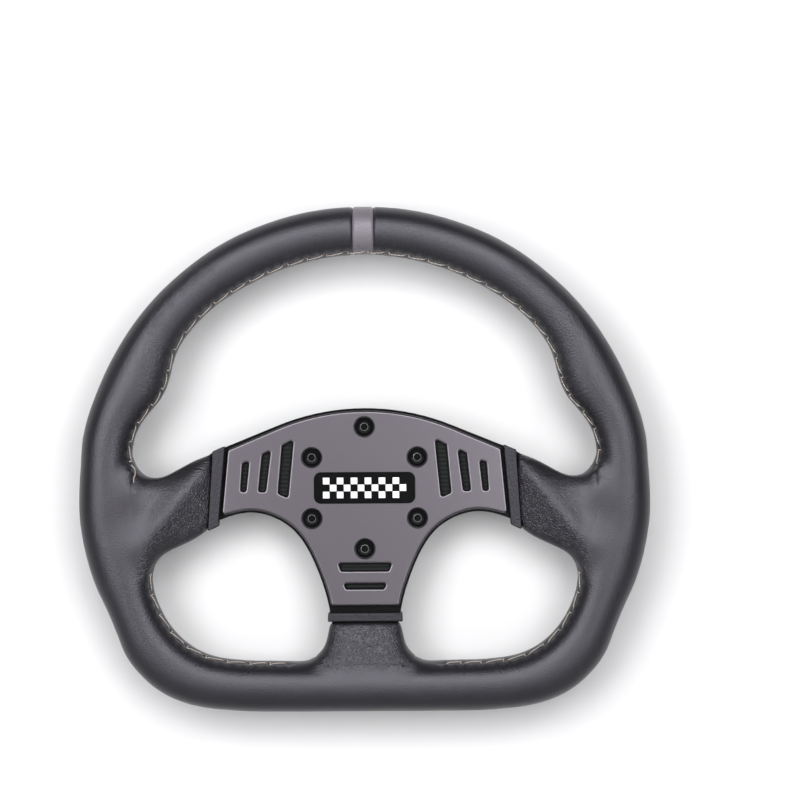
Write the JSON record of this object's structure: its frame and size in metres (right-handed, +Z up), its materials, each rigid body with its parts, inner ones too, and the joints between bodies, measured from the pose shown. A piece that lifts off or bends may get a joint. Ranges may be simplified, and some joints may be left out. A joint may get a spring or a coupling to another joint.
{
  "type": "racing steering wheel",
  "caption": "Flat-bottomed leather racing steering wheel with a three-spoke hub, slotted front plate, grey top marker and bolt-on hub mounting.",
  "frame": {"origin": "centre of the six-bolt circle, on the back mounting face of the spoke frame", "axes": "+Z up towards the centre marker at the top of the rim, +X to the right as the driver sees it, +Y along the hub axis away from the driver; the driver looks along +Y at the front plate"},
  "size_m": [0.3286, 0.031, 0.2906],
  "materials": {
    "rim_leather": "satin",
    "marker_leather": "satin",
    "seam_thread": "matte",
    "collar_trim": "matte",
    "black_screw": "satin",
    "mesh_sheet": "matte",
    "badge_black": "gloss",
    "badge_silver": "satin",
    "anodised_plate": "satin",
    "frame_black": "satin",
    "hoop_steel": "satin",
    "rivet_steel": "satin",
    "rim_foam": "matte"
  },
  "bodies": {
    "root": {"badge_base": "badge_black", "badge_tiles": "badge_silver", "cap_screw_1": "black_screw", "cap_screw_2": "black_screw", "cap_screw_3": "black_screw", "cap_screw_4": "black_screw", "cap_screw_5": "black_screw", "cap_screw_6": "black_screw", "centre_plate": "anodised_plate", "collar_bottom": "collar_trim", "collar_left": "collar_trim", "collar_right": "collar_trim", "foam_core": "rim_foam", "hoop_rivets_bottom": "rivet_steel", "hoop_rivets_left": "rivet_steel", "hoop_rivets_right": "rivet_steel", "leather_centre_marker": "marker_leather", "leather_rim_left": "rim_leather", "leather_rim_right": "rim_leather", "leather_spoke_bottom": "rim_leather", "leather_spoke_left": "rim_leather", "leather_spoke_right": "rim_leather", "rim_hoop": "hoop_steel", "slot_mesh_bottom": "mesh_sheet", "slot_mesh_left": "mesh_sheet", "slot_mesh_right": "mesh_sheet", "spoke_frame": "frame_black", "thread_lower_left": "seam_thread", "thread_lower_right": "seam_thread", "thread_upper_left": "seam_thread", "thread_upper_right": "seam_thread"}
  },
  "joints": []
}
